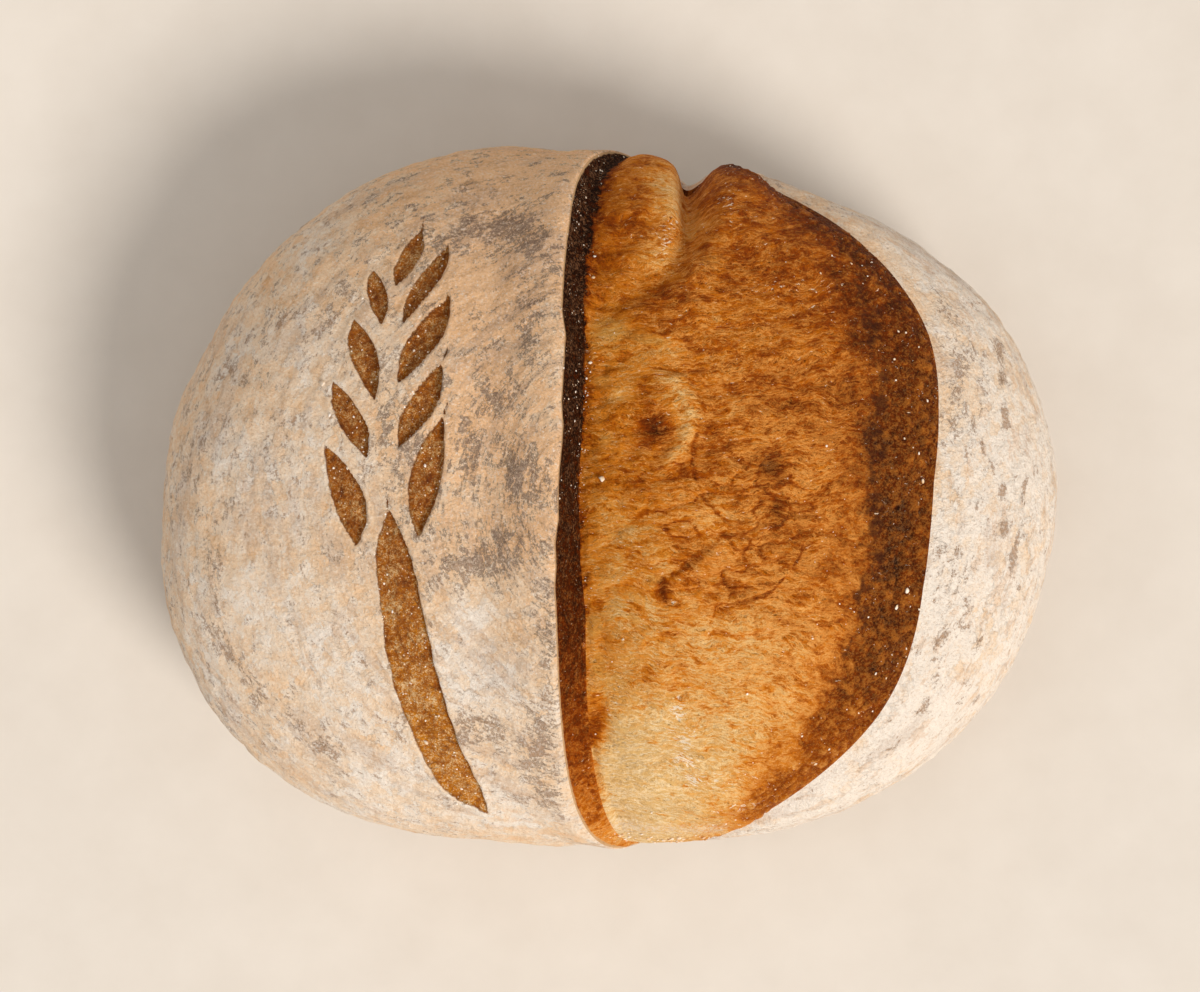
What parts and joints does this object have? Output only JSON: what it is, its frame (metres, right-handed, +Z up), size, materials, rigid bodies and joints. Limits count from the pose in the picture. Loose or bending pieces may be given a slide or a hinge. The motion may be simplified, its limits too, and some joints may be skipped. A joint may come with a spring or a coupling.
{
  "type": "sourdough loaf",
  "caption": "Oval hearth loaf with a floured crust, a wheat-ear scoring and a long score that burst open into a raised ear and a browned bloom.",
  "frame": {"origin": "middle of the loaf's box, on the flat base it stands on", "axes": "+X across the score, from the floured side towards the bloom; +Y along the score; +Z up"},
  "size_m": [0.2456, 0.1916, 0.1046],
  "materials": {
    "crust": "matte baked crust, dusted with flour, with golden to dark brown where the score opened"
  },
  "bodies": {
    "root": {"loaf": "crust"}
  },
  "joints": []
}
